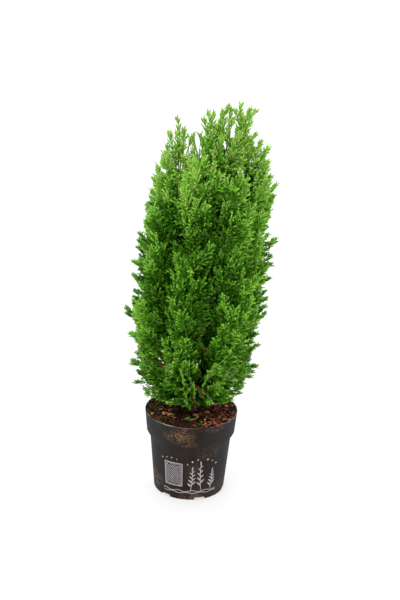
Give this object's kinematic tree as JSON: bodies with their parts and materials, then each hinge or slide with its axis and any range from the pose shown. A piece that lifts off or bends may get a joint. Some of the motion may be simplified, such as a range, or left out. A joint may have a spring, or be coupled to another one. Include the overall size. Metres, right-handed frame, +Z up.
{
  "type": "potted ellwoodii lawson cypress",
  "caption": "Young columnar cypress with dense upright feathery foliage, rooted in bark-topped potting mix in a round tapered plastic nursery pot.",
  "frame": {"origin": "centre of the pot's flat underside", "axes": "+Z up along the plant, -Y towards the front of the plant, +X to its right as seen from the front"},
  "size_m": [0.1745, 0.1588, 0.518],
  "materials": {
    "pot_plastic": "thin moulded plastic, soft sheen, dusted with dry earth",
    "potting_mix": "damp bark chips and peat",
    "bark": "thin stringy bark",
    "foliage": "matt needle foliage"
  },
  "bodies": {
    "root": {"pot": "pot_plastic", "potting_mix": "potting_mix", "trunk": "bark", "bough_high_back": "bark", "bough_high_back_left": "bark", "bough_high_front": "bark", "bough_high_front_right": "bark", "bough_high_right": "bark", "bough_left_leader": "bark", "bough_low_back_left": "bark", "bough_low_front": "bark", "bough_low_right": "bark", "bough_middle_leader": "bark", "foliage_high_back": "foliage", "foliage_high_back_left": "foliage", "foliage_high_front": "foliage", "foliage_high_front_right": "foliage", "foliage_high_right": "foliage", "foliage_left_leader": "foliage", "foliage_low_back": "foliage", "foliage_low_back_left": "foliage", "foliage_low_front": "foliage", "foliage_low_front_right": "foliage", "foliage_low_left": "foliage", "foliage_low_right": "foliage", "foliage_middle_leader": "foliage", "foliage_top": "foliage"}
  },
  "joints": []
}
